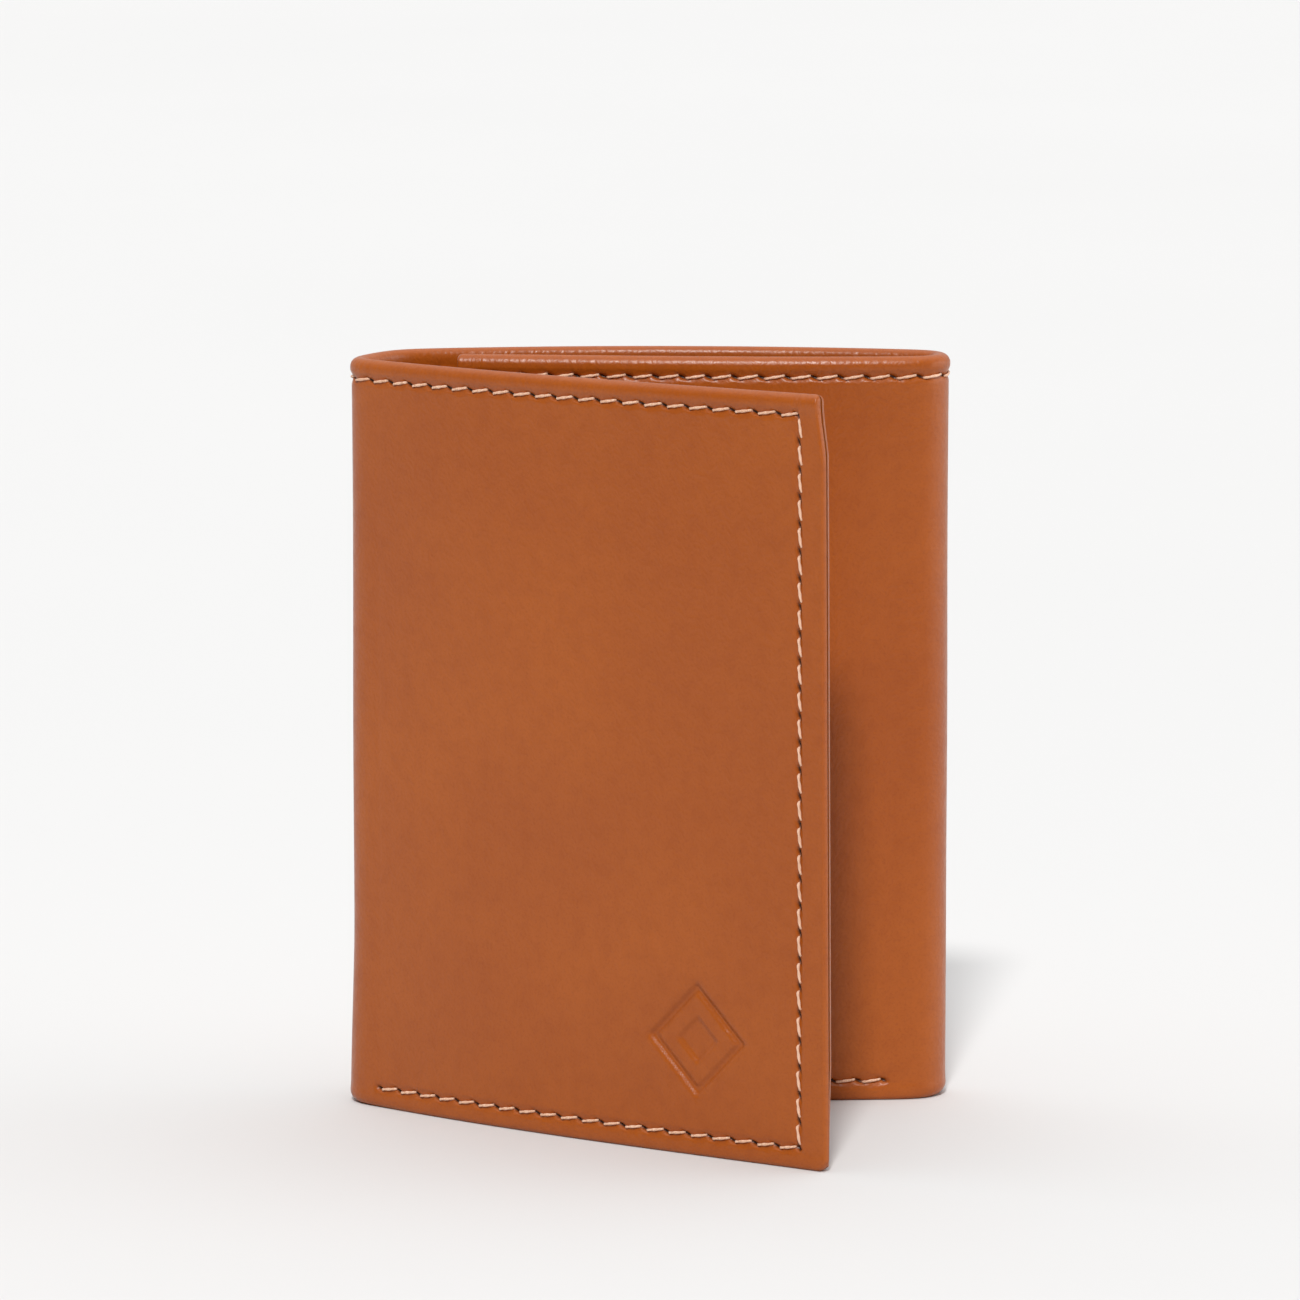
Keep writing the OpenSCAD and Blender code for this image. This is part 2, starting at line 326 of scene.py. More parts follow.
def ride_for(piece, body, node):
    """The piece rides on a body and replaces one CAD node."""
    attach(piece, body)
    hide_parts(node)


# ---- rows of stitches ----
class Row:
    """A straight row of stitches along s or along z, at a fixed value of the other one."""

    def __init__(self, along, fixed, start, end):
        self.along, self.fixed, self.start, self.end = along, fixed, start, end
        self.count = max(1, round((end - start) / PITCH))
        self.pitch = (end - start) / self.count

    def centres(self):
        a = self.start + (np.arange(self.count) + 0.5) * self.pitch
        b = np.full(self.count, self.fixed)
        return (a, b) if self.along == "s" else (b, a)

    def measure(self, s, z):
        """Distance across the row, distance to the nearest needle hole, and 1 within its length."""
        a, b = (s, z - self.fixed) if self.along == "s" else (z, s - self.fixed)
        steps = (a - self.start) / self.pitch
        hole = (steps - np.round(steps)) * self.pitch
        fade_in = smooth((a - self.start + ROW_FADE) / ROW_FADE)
        fade_out = smooth((self.end + ROW_FADE - a) / ROW_FADE)
        return b, hole, fade_in * fade_out


TOP, BOTTOM = HEIGHT - INSET, INSET
LAST_COLUMN = END - FLAP_COLUMN
ROWS = (
    Row("s", TOP, COVER_COLUMN, LAST_COLUMN),
    Row("z", COVER_COLUMN, BOTTOM, TOP),
    Row("z", LAST_COLUMN, BOTTOM, TOP),
    Row("s", BOTTOM, COVER_COLUMN, S_FRONT - 5.5),
    Row("s", BOTTOM, S_REAR + 7.0, S_RIGHT_REAR - 7.0),
    Row("s", BOTTOM, S_RIGHT_FRONT + 7.0, LAST_COLUMN),
)


def stitched(s, z, rows=ROWS, groove=0.22, dimple=0.5):
    """How far the rows of stitches pull a face in, and how near a point is to a needle slit, which is
    used to paint shade into the slits.
    A slit slants across its row, and the leather puckers up on the lower side of it."""
    groove_width, slit_length, slit_width = 0.7, 0.8, 0.25
    pucker_height, pucker_width, pucker_below, pucker_beside = 0.10, 0.36, 0.70, 0.2
    lip_height, lip_width, lip_beside = 0.05, 0.6, 1.5
    pull = np.zeros(np.broadcast(s, z).shape)
    near = np.zeros_like(pull)
    for row in rows:
        across, hole, inside = row.measure(s, z)
        line = bell(across, groove_width) * inside
        slit = bell(hole, slit_length) * bell(across - SLIT_SLOPE * hole, slit_width) * inside
        beside = bell(hole + pucker_beside, slit_length)
        pucker = beside * bell(across + pucker_below, pucker_width) * inside
        lip = bell(np.abs(across) - lip_beside, lip_width) * inside
        pull = np.maximum(pull, groove * line + dimple * slit)
        pull = pull - lip_height * lip - pucker_height * pucker
        near = np.maximum(near, slit)
    return pull, near


# ---- the outer leather's relief ----
def mark_depth(s, z):
    """The debossed mark: a plain lozenge outline around a smaller one."""
    half_line, line_inset, inner_share = 0.8, 0.9, 0.42
    press_depth, dish_depth, dish_slope = 0.34, 0.18, 1.2
    reach = np.abs(s - MARK_S) + np.abs(z - MARK_Z)
    outline = smooth((half_line - np.abs(reach - MARK_SIZE + line_inset)) / MARK_SLOPE)
    inner = smooth((MARK_SIZE * inner_share - reach) / MARK_SLOPE)
    dish = smooth((MARK_SIZE + half_line - reach) / dish_slope)
    return press_depth * outline + press_depth * inner + dish_depth * dish


def puff(s, z):
    """How far the pockets behind a panel push its leather out."""
    puff_height, wave_height, calm_edge = 0.30, 0.07, 8
    margin, middle_margin = 6, 8
    rise = 1 - ((z - HEIGHT / 2) / (HEIGHT / 2)) ** 2
    panels = (
        (COVER_COLUMN, S_FRONT - margin),
        (S_REAR + middle_margin, S_RIGHT_REAR - middle_margin),
        (S_RIGHT_FRONT + margin, LAST_COLUMN),
    )
    swell = 0.0
    for low, high in panels:
        x = np.clip((s - low) / (high - low), 0, 1)
        swell = swell + puff_height * (4 * x * (1 - x)) ** 0.5
    wave = wave_height * np.sin(s / 7.3 + 0.8 * np.sin(z / 17)) * np.sin(z / 13.0 + 1.3)
    return swell * rise + wave * smooth(z / calm_edge) * smooth((HEIGHT - z) / calm_edge)


def fold_bells(s):
    """A bump round the left fold and one round the right fold."""
    left_shift, left_width, right_width = 2.5, 7.5, 5.5
    left = bell(s - (S_FRONT + S_REAR) / 2 + left_shift, left_width)
    right = bell(s - CUT_RIGHT, right_width)
    return left, right


def fold_swell(s, z):
    """How far the leather stands out round each fold. The left fold spreads towards its foot."""
    left_swell, spread_swell, right_swell, spread_height = 0.35, 0.75, 0.5, 28
    left, right = fold_bells(s)
    spread = smooth((spread_height - z) / spread_height)
    return (left_swell + spread_swell * spread) * left + right_swell * right


def leather_outward(s, z):
    """How far the outer face stands out from its plain depth, and how near a needle slit is, for the
    painted slit shade.
    """
    tuck_radius, tuck_share = 2.0, 0.7
    pull, near = stitched(s, z)
    hem = 0.20 * bell(z - (HEIGHT - 1.5), 1.0) + 0.10 * bell(z - 1.2, 0.9)
    tuck = corner(tuck_radius - z, tuck_radius) * sum(fold_bells(s))
    relief = hem - pull - mark_depth(s, z) + puff(s, z) + fold_swell(s, z)
    return relief - tuck_share * tuck, near


def edge_line(z):
    """Where a free edge is: rounded at both corners, leaning in towards the top."""
    foot_radius, top_radius, lean_in = 1.8, 0.8, 0.9
    lean = lean_in * smooth((z - HEIGHT + 10) / 9) + lean_in * z / HEIGHT
    foot = corner(foot_radius - z, foot_radius)
    return foot + corner(z - HEIGHT + top_radius, top_radius) + lean


def trim(s, z):
    """Moves the points near a free edge in, so that the panel ends at the edge line."""
    from_start = np.clip(1 - s / EDGE_REACH, 0, 1)
    from_end = np.clip(1 - (END - s) / EDGE_REACH, 0, 1)
    return s + edge_line(z) * from_start - edge_line(z) * from_end


def thin(s, radius, setback=0.0):
    """The share of its thickness that a layer keeps near its end, where it is rounded.
    The layer ends setback short of both free edges."""
    near = np.clip(radius - (np.minimum(s, END - s) - setback), 0, radius)
    return np.sqrt(np.maximum(1 - (near / radius) ** 2, 0.02))


def wrinkle(s, z):
    """Fine gathers across the rolled top edge, where the leather is turned over."""
    gather_height, start_below, full_after = 0.022, 2.4, 1.4
    wide = np.sin(6.1 * s + 2.2 * np.sin(0.9 * s))
    fine = 0.6 * np.sin(9.7 * s + 1.7 * np.sin(1.3 * s) + 1.0)
    return gather_height * (wide + fine) * smooth((z - HEIGHT + start_below) / full_after)


# ---- rows and columns of points ----
def columns_between(low, high, step):
    return np.linspace(low, high, max(2, int(round((high - low) / step)) + 1))


def eased_columns(low, high, step, ease_low, ease_high):
    """Columns between low and high, with close ones at an end that is rounded."""
    fine = np.array([0.0, 0.04, 0.12, 0.25])
    gap = 0.6
    inner = columns_between(low + (gap if ease_low else 0), high - (gap if ease_high else 0), step)
    parts = ([low + fine] if ease_low else []) + [inner] + ([high - fine[::-1]] if ease_high else [])
    return np.concatenate(parts)


def edge_columns(low, high, step):
    """Columns between low and high, with close ones at a free edge and over its stitches."""
    fine = np.array([0.0, 0.02, 0.05, 0.1, 0.17, 0.26, 0.37, 0.5, 0.8])
    near, clear = 1.2, 1.5
    beside_first = columns_between(near, COVER_COLUMN - clear, step)
    beside_last = columns_between(LAST_COLUMN + clear, END - near, step)
    first = np.concatenate([fine, beside_first, COVER_COLUMN + FINE_OFFSETS])
    last = np.concatenate([LAST_COLUMN + FINE_OFFSETS, beside_last, END - fine[::-1]])
    plain_low = COVER_COLUMN + clear if low <= 0 else low
    plain_high = LAST_COLUMN - clear if high >= END else high
    parts = ([first] if low <= 0 else []) + [columns_between(plain_low, plain_high, step)]
    return np.concatenate(parts + ([last] if high >= END else []))


def leather_rows(segment):
    """The heights of the outer face's rows: close over stitches and the mark, wide elsewhere."""
    step = ROW_STEPS.get(segment.name, PLAIN_ROW_STEP)
    margin = 5.2
    low = np.concatenate([[0.6, 0.9, 1.2, 1.45], BOTTOM + FINE_OFFSETS, [4.4, 4.8, margin]])
    plain = columns_between(margin + step, HEIGHT - margin - step, step)
    under = [HEIGHT - margin, HEIGHT - 4.8, HEIGHT - 4.4]
    above = [HEIGHT - 1.45, HEIGHT - 1.2, HEIGHT - 1.0]
    return np.concatenate([low, plain, under, TOP + FINE_OFFSETS, above])


# ---- rings: the outline of a layer in t and z, at each column ----
def leather_ring(segment):
    """The function that gives the outer leather's outline at each s, all the way round."""
    outer = leather_rows(segment)
    cap = np.linspace(0, math.pi, 9)[1:-1]
    foot = np.linspace(0, math.pi, 7)[1:-1]
    high_hem = np.arange(HEIGHT - 1.0, HEIGHT - 5, -0.4)
    hem = np.concatenate([high_hem, np.linspace(HEIGHT - 5.5, HEM_LOW + 0.3, 5)])
    inner = np.linspace(HEM_LOW - 0.2, HALF_LEATHER, 8)
    radius = (HEM_FACE - OUTER_FACE) / 2
    cap_z = HEIGHT - radius + radius * np.sin(cap)
    cap_t = (HEM_FACE + OUTER_FACE) / 2 - radius * np.cos(cap)
    foot_z = HALF_LEATHER - HALF_LEATHER * np.sin(foot)
    foot_t = HALF_LEATHER * np.cos(foot)
    # The heights and depths of each stretch, and its share of the outer face, the hem and the roll
    stretches = (
        (outer, OUTER_FACE, 1.0, 0.0, 1.0),
        (cap_z, cap_t, 0.5 + 0.5 * np.cos(cap), 0.0, np.cos(cap)),
        (hem, HEM_FACE, 0.0, 1.0, -1.0),
        (inner, INNER_FACE, 0.0, 0.0, 0.0),
        (foot_z, foot_t, 0.5 - 0.5 * np.cos(foot), 0.0, 0.0),
    )
    z, t, outwards, hem_side, roll = (
        np.concatenate([np.broadcast_to(stretch[k], stretch[0].shape) for stretch in stretches])
        for k in range(5)
    )
    turned = np.where(t == INNER_FACE, SIDE_HEM_FACE - INNER_FACE, 0.0)

    def ring(s):
        s2, z2 = s[:, None], z[None, :]
        out, near = leather_outward(s2, z2)
        pull, near_hem = stitched(s2, z2, ROWS[:1], PANEL_GROOVE, PANEL_DIMPLE)
        side = smooth((SIDE_HEM_WIDTH - np.minimum(s2, END - s2)) / 1.0)
        depth = t - out * outwards - pull * hem_side + side * turned
        depth = depth - wrinkle(s2, z2) * roll
        middle = np.where(z > HEM_LOW, 0.4, 0.5 * (SIDE_HEM_FACE + OUTER_FACE)) * side
        depth = middle + (depth - middle) * thin(s2, 0.5)
        # The last value is the painted shade for the needle slits, on the outer face and on the hem
        return trim(s2, z2), depth, z2 + 0 * s2, np.maximum(near * outwards, near_hem * hem_side)

    return ring


def slab_outline(low, high, front, back, rows):
    """Outline of a thin upright slab with a round top and bottom, from its front face to its back."""
    radius = abs(front - back) / 2
    middle = (front + back) / 2
    turn = np.linspace(0, math.pi, 7)[1:-1]
    side = np.sign(front - back)
    up = np.array([z for z in rows if low + radius < z < high - radius])
    over = high - radius + radius * np.sin(turn)
    under = low + radius - radius * np.sin(turn)
    swing = side * radius * np.cos(turn)
    z = [low + radius, *up, high - radius, *over, high - radius, low + radius, *under]
    t = [front] * (len(up) + 2) + [*(middle + swing), back, back, *(middle - swing)]
    return np.array(z), np.array(t)


def slab_ring(outline, shape):
    """A ring from fixed outline points. shape(s, t, z) gives each point's depth and its painted
    needle-slit shade.
    """
    z, t = outline

    def ring(s):
        s2 = s[:, None]
        depth, near = shape(s2, t[None, :] + 0 * s2, z[None, :] + 0 * s2)
        return s2 + 0 * depth, depth, z[None, :] + 0 * s2, near

    return ring


def trimmed(ring):
    """The same ring, with its points moved in from the free edges."""

    def moved(s):
        s2, depth, z2, near = ring(s)
        return trim(s2, z2), depth, z2, near

    return moved


# ---- meshes ----
def add(name, mesh):
    piece = bpy.data.objects.new(name, mesh)
    bpy.context.scene.collection.objects.link(piece)
    return piece


def face_outwards(mesh):
    """Turns every face of a closed mesh outwards."""
    work = bmesh.new()
    work.from_mesh(mesh)
    bmesh.ops.recalc_face_normals(work, faces=work.faces)
    work.to_mesh(mesh)
    work.free()


def strip_normals(points, open_low, open_high):
    """The outward normal at each point of a strip, and whether its rings run the other way round.
    A shut end's normals point along the strip."""
    around = np.roll(points, -1, 1)
    face = np.cross(points[1:] - around[:-1], around[1:] - points[:-1])
    total = np.zeros_like(points)
    for part in (face, np.roll(face, 1, 1)):
        total[:-1] += part
        total[1:] += part
    middle = len(points) // 2
    turned_in = total[middle, 0] @ (points[middle, 0] - points[middle].mean(0)) < 0
    for is_open, end, inner in ((open_low, 0, 1), (open_high, -1, -2)):
        if not is_open:
            along = points[end].mean(0) - points[inner].mean(0)
            total[end] = -along if turned_in else along
    total = total / np.maximum(np.linalg.norm(total, axis=2), 1e-12)[..., None]
    return -total if turned_in else total, turned_in


def strip_uv(points, s):
    """Texture coordinates in metres for the four corners of each face of a strip."""
    count, size = points.shape[:2]
    length = np.linalg.norm(np.roll(points, -1, 1) - points, axis=2)
    u = np.broadcast_to((s * MM)[:, :1], (count, size))
    v = np.concatenate([np.zeros((count, 1)), np.cumsum(length, 1)], 1)
    corner_u = np.stack([u[:-1], u[1:], u[1:], u[:-1]], -1)
    corner_v = np.stack([v[:-1, :-1], v[1:, :-1], v[1:, 1:], v[:-1, 1:]], -1)
    return np.stack([corner_u, corner_v], -1).reshape(-1, 4, 2)


def sweep(name, material, columns, ring, open_low=False, open_high=False):
    """A closed strip from a ring of points at each column. Where an end is open, it meets the next
    segment and takes its normals from the surface that goes on beyond it."""
    beyond = 0.3
    before = [columns[0] - beyond] if open_low else []
    after = [columns[-1] + beyond] if open_high else []
    s, t, z, near = ring(np.concatenate([before, columns, after]))
    points = place(s, t, z)
    outward, turned_in = strip_normals(points, open_low, open_high)
    keep = slice(len(before), len(points) - len(after))
    points, outward, near, s = points[keep], outward[keep], near[keep], s[keep]
    count, size = points.shape[:2]
    index = np.arange(count * size).reshape(count, size)
    across = np.roll(index, -1, 1)
    quads = np.stack([index[:-1], index[1:], across[1:], across[:-1]], -1).reshape(-1, 4)
    uv = strip_uv(points, s)
    caps = [index[0][::-1], index[-1]]
    if turned_in:
        quads, uv, caps = quads[:, ::-1], uv[:, ::-1], [cap[::-1] for cap in caps]
    mesh = bpy.data.meshes.new(name)
    mesh.from_pydata(points.reshape(-1, 3).tolist(), [], quads.tolist() + [cap.tolist() for cap in caps])
    all_uv = np.zeros((len(mesh.loops), 2))
    all_uv[: 4 * len(uv)] = uv.reshape(-1, 2)
    mesh.uv_layers.new(name="UVMap").data.foreach_set("uv", all_uv.ravel())
    # The painted shade in the needle slits, one value per point, read by the leather shader
    slit_shade_attribute = mesh.attributes.new("pit", "FLOAT", "POINT")
    slit_shade_attribute.data.foreach_set("value", near.reshape(-1).astype(np.float32))
    mesh.shade_smooth()
    mesh.normals_split_custom_set_from_vertices(outward.reshape(-1, 3).tolist())
    mesh.materials.append(material)
    return add(name, mesh)


def segment_piece(segment, suffix, material, columns, ring):
    """A layer's stretch on one segment."""
    name = f"{segment.name}_{suffix}"
    return sweep(name, material, columns, ring, segment.open_low, segment.open_high)


# ---- materials ----
class Shader:
    """A node tree with a Principled shader, and short ways to add the nodes that materials share."""

    def __init__(self, name, **settings):
        self.material = bpy.data.materials.new(name)
        self.material.use_nodes = True
        self.nodes = self.material.node_tree.nodes
        self.links = self.material.node_tree.links
        self.principled = self.nodes["Principled BSDF"]
        for key, value in settings.items():
            self.principled.inputs[key.replace("_", " ")].default_value = value

    def add(self, kind, inputs=(), **fields):
        """A node whose inputs are linked where the value is a socket, and set where it isn't."""
        node = self.nodes.new(kind)
        for key, value in fields.items():
            setattr(node, key, value)
        for key, value in dict(inputs).items():
            if isinstance(value, bpy.types.NodeSocket):
                self.links.new(value, node.inputs[key])
            else:
                node.inputs[key].default_value = value
        return node

    def surface(self):
        return self.add("ShaderNodeUVMap", uv_map="UVMap").outputs[0]

    def noise(self, where, scale, detail=3.0, roughness=0.5):
        inputs = {"Vector": where, "Scale": scale, "Detail": detail, "Roughness": roughness}
        return self.add("ShaderNodeTexNoise", inputs, noise_dimensions="2D").outputs["Fac"]

    def cells(self, where, scale):
        inputs = {"Vector": where, "Scale": scale}
        node = self.add("ShaderNodeTexVoronoi", inputs, voronoi_dimensions="2D", feature="SMOOTH_F1")
        return node.outputs["Distance"]

    def ribs(self, where, scale, axis):
        inputs = {"Vector": where, "Scale": scale, "Distortion": 0.3, "Detail": 1.0}
        return self.add("ShaderNodeTexWave", inputs, bands_direction=axis).outputs["Fac"]

    def ramp(self, value, low, high, start=0.0, end=1.0):
        inputs = {"Value": value, "From Min": low, "From Max": high, "To Min": start, "To Max": end}
        return self.add("ShaderNodeMapRange", inputs, clamp=True).outputs[0]

    def mix(self, share, a, b):
        return self.add("ShaderNodeMix", {0: share, 6: a, 7: b}, data_type="RGBA").outputs[2]

    def math(self, operation, a, b):
        return self.add("ShaderNodeMath", {0: a, 1: b}, operation=operation).outputs[0]

    def bump(self, height, strength, distance, normal=None):
        inputs = {"Height": height, "Strength": strength, "Distance": distance}
        if normal:
            inputs["Normal"] = normal
        return self.add("ShaderNodeBump", inputs).outputs[0]

    def use(self, **sockets):
        for key, value in sockets.items():
            self.links.new(value, self.principled.inputs[key.replace("_", " ")])
        return self.material


def leather(name, base, deep, warm, roughness):
    """Smooth semi-gloss leather: soft mottling, pebbled grain and pores, and painted shade, near black,
    in the needle slits.
    """
    shader = Shader(name, Specular_IOR_Level=0.38, Coat_Weight=0.04, Coat_Roughness=0.25)
    where = shader.surface()
    clouds = shader.noise(where, 28.0, 4.0, 0.6)
    mottle = shader.noise(where, 420.0, 3.0, 0.6)
    specks = shader.noise(where, 2600.0, 2.0, 0.6)
    pit = shader.add("ShaderNodeAttribute", attribute_name="pit").outputs["Fac"]
    # Painted shade: a near-black copy of the deep tone, mixed in where a needle slit is
    slit = (deep[0] * 0.08, deep[1] * 0.06, deep[2] * 0.06, 1)
    colour = shader.mix(shader.ramp(clouds, 0.35, 0.68), base, warm)
    colour = shader.mix(shader.ramp(mottle, 0.42, 0.75, 0.0, 0.20), colour, deep)
    colour = shader.mix(shader.ramp(specks, 0.50, 0.75, 0.0, 0.30), colour, deep)
    colour = shader.mix(shader.ramp(pit, 0.25, 0.75, 0.0, 0.95), colour, slit)
    unevenness = shader.math("ADD", mottle, clouds)
    gloss = shader.ramp(unevenness, 0.7, 1.3, roughness - 0.05, roughness + 0.07)
    grain = shader.bump(shader.cells(where, 1500.0), 0.20, 0.00018)
    grain = shader.bump(specks, 0.16, 0.00012, grain)
    return shader.use(Base_Color=colour, Roughness=gloss, Normal=grain)


def woven(name, light, dark):
    """Plain-weave lining: warp and weft ribs, one over the other."""
    shader = Shader(
        name, Roughness=0.85, Specular_IOR_Level=0.25, Sheen_Weight=0.3, Sheen_Roughness=0.4
    )
    where = shader.surface()
    weave = shader.math("MULTIPLY", shader.ribs(where, 560.0, "X"), shader.ribs(where, 560.0, "Y"))
    patches = shader.noise(where, 60.0)
    colour = shader.mix(shader.ramp(weave, 0.0, 0.7), dark, light)
    colour = shader.mix(shader.ramp(patches, 0.4, 0.8, 0.0, 0.3), colour, dark)
    return shader.use(Base_Color=colour, Normal=shader.bump(weave, 0.6, 0.0001))


def waxed_thread(name, light, dark):
    """Pale waxed thread with fine fibres and a few darker stretches."""
    shader = Shader(name, Roughness=0.55, Sheen_Weight=0.25, Sheen_Roughness=0.35)
    where = shader.add("ShaderNodeTexCoord").outputs["Object"]
    fibres = shader.noise(where, 5200.0, 2.0)
    patches = shader.noise(where, 90.0, 2.0)
    colour = shader.mix(shader.ramp(fibres, 0.3, 0.75), light, dark)
    colour = shader.mix(shader.ramp(patches, 0.4, 0.8, 0.0, 0.35), colour, dark)
    return shader.use(Base_Color=colour, Normal=shader.bump(fibres, 0.3, 0.00006))


def clear_film(name):
    """Clear plastic film, slightly scuffed and wavy."""
    shader = Shader(name, Base_Color=(0.10, 0.10, 0.10, 1), Alpha=0.22, Specular_IOR_Level=1.0)
    shader.material.surface_render_method = "BLENDED"
    where = shader.surface()
    haze = shader.ramp(shader.noise(where, 240.0, 4.0, 0.7), 0.45, 0.8, 0.06, 0.2)
    waves = shader.bump(shader.noise(where, 45.0, 1.0), 0.15, 0.0004)
    return shader.use(Roughness=haze, Normal=waves)


LEATHER = leather(
    "tan_leather",
    base=(0.360, 0.078, 0.0050, 1),
    deep=(0.250, 0.045, 0.003, 1),
    warm=(0.395, 0.091, 0.0070, 1),
    roughness=0.35,
)
POCKET_LEATHER = leather(
    "pocket_leather",
    base=(0.310, 0.074, 0.011, 1),
    deep=(0.200, 0.042, 0.006, 1),
    warm=(0.340, 0.088, 0.013, 1),
    roughness=0.46,
)
LINING_CLOTH = woven("lining_cloth", (0.150, 0.070, 0.034, 1), (0.050, 0.022, 0.012, 1))
THREAD = waxed_thread("waxed_thread", (0.900, 0.600, 0.440, 1), (0.680, 0.380, 0.230, 1))
FILM = clear_film("window_film")


# ---- layers that run through every segment ----
def make_leather(segment):
    columns = edge_columns(segment.low, segment.high, COLUMN_STEP)
    piece = segment_piece(segment, "shell", LEATHER, columns, leather_ring(segment))
    stand_in(piece, segment, "leather")


def lining_shape(s, t, z):
    """The cloth's slight waviness."""
    return t + 0.02 * np.sin(s / 3.1) * np.sin(z / 9.0), 0 * s + 0 * z


def make_lining(segment):
    low, high = max(segment.low, SIDE_HEM_WIDTH), min(segment.high, END - SIDE_HEM_WIDTH)
    rows = np.linspace(2, HEM_LOW - 1, 24)
    outline = slab_outline(LINING_LOW, HEM_LOW - 0.3, LINING_FACE, INNER_FACE + SKIN, rows)
    ring = trimmed(slab_ring(outline, lining_shape))
    piece = segment_piece(segment, "lining_cloth", LINING_CLOTH, columns_between(low, high, 0.8), ring)
    stand_in(piece, segment, "lining")


def pinch(s, z):
    """How far the inner panel is sewn down: to the lining along its bottom, and to the hem beside
    the free edges."""
    foot_pinch, side_pinch, foot_reach, side_reach = 0.45, 0.28, 6.5, 9.0
    low = foot_pinch * smooth((foot_reach - z) / 4)
    side = smooth((side_reach - np.minimum(s, END - s)) / 3)
    return low * (1 - side) + side_pinch * side


def panel_shape(s, t, z):
    """The inner panel: sewn down, stitched, and creased below its folded top edge."""
    front = t > (PANEL_BACK + PANEL_FACE) / 2
    pull, near = stitched(s, z, ROWS[1:], PANEL_GROOVE, PANEL_DIMPLE)
    crease = 0.10 * bell(z - (PANEL_TOP - 2.2), 0.3)
    depth = t - pinch(s, z) - front * (pull + crease)
    middle = (PANEL_BACK + PANEL_FACE) / 2 - pinch(s, z)
    return middle + (depth - middle) * thin(s, 0.25, PANEL_SETBACK), near * front


def make_inner_panel(segment):
    low, high = max(segment.low, PANEL_SETBACK), min(segment.high, END - PANEL_SETBACK)
    sewn = np.arange(1.5, 7, 0.4)
    folded = np.arange(PANEL_TOP - 5, PANEL_TOP, 0.3)
    rows = np.concatenate([sewn, np.linspace(8, PANEL_TOP - 6, 30), folded])
    outline = slab_outline(PANEL_LOW, PANEL_TOP, PANEL_FACE, PANEL_BACK, rows)
    columns = eased_columns(low, high, 0.5, not segment.open_low, not segment.open_high)
    ring = trimmed(slab_ring(outline, panel_shape))
    piece = segment_piece(segment, "panel", POCKET_LEATHER, columns, ring)
    stand_in(piece, segment, "inner_panel")


# ---- card pockets ----
def pocket_face(level):
    return PANEL_FACE + level * POCKET_LAYER


def pocket_span(body):
    """Where a body's pockets start and end along the curve."""
    if body == "cover":
        return S_FRONT - COVER_POCKETS[0], S_FRONT - COVER_POCKETS[1]
    return S_CENTRE - MIDDLE_POCKETS[0], S_CENTRE + MIDDLE_POCKETS[1]


def make_pocket(body, index):
    """Pocket 1 is the rearmost and tallest. Each has a folded top edge with a crease under it."""
    low, high = pocket_span(body)
    top = POCKET_TOPS[index - 1]
    front, back = pocket_face(index), pocket_face(index - 1) + 0.04
    middle = (front + back) / 2
    inset, foot, rounding = 2.0, 6.0, 0.3
    sides = [Row("z", s, foot, POCKET_TOPS[0] - 2) for s in (low + inset, high - inset)]

    def shape(s, t, z):
        face = t > middle
        crease = 0.12 * bell(z - (top - 2.0), 0.28)
        lip = 0.10 * bell(z - (top - 0.7), 0.7)
        pull, near = stitched(s, z, sides, 0.08, 0.12)
        from_side = np.minimum(s - low, high - s)
        share = np.clip(rounding - from_side, 0, rounding) / rounding
        keep = np.sqrt(np.maximum(1 - share**2, 0.02))
        depth = t + face * (lip - crease - pull)
        return middle + (depth - middle) * keep, near * face

    rows = np.concatenate([np.linspace(5, top - 5, 24), np.arange(top - 4.6, top, 0.25)])
    outline = slab_outline(POCKET_LOW + 0.01 * index, top, front, back, rows)
    fine = np.array([0.0, 0.06, 0.14, 0.3])
    inner = columns_between(low + 0.8, high - 0.8, 0.8)
    columns = np.concatenate([low + fine, inner, high - fine[::-1]])
    piece = sweep(f"{body}_pocket_{index}", POCKET_LEATHER, columns, slab_ring(outline, shape))
    ride_for(piece, body, f"{body}_card_pocket_{index}")


# ---- identity window ----
WINDOW_S = S_RIGHT_FRONT + WINDOW_SETBACK + BORDER + WINDOW_W / 2
WINDOW_Z = WINDOW_LOW + WINDOW_H / 2
FRAME_HALF_W, FRAME_HALF_H = WINDOW_W / 2 + BORDER, WINDOW_H / 2 + BORDER


def rounded_loop(half_w, half_h, radius, per_corner=10, per_side=16):
    """Points round a rectangle about the window's middle, with round corners, anticlockwise."""
    s, z = [], []
    corners = ((1, 1, 0), (-1, 1, 90), (-1, -1, 180), (1, -1, 270))
    for k, (right, up, start) in enumerate(corners):
        turn = np.radians(np.linspace(start, start + 90, per_corner))
        s += list(WINDOW_S + right * (half_w - radius) + radius * np.cos(turn))
        z += list(WINDOW_Z + up * (half_h - radius) + radius * np.sin(turn))
        next_right, next_up, next_start = corners[(k + 1) % 4]
        angle = math.radians(next_start)
        end_s = WINDOW_S + next_right * (half_w - radius) + radius * math.cos(angle)
        end_z = WINDOW_Z + next_up * (half_h - radius) + radius * math.sin(angle)
        share = np.linspace(0, 1, per_side + 2)[1:-1]
        side_s, side_z = s[-1] + share * (end_s - s[-1]), z[-1] + share * (end_z - z[-1])
        s += list(side_s)
        z += list(side_z)
    return np.array(s), np.array(z)


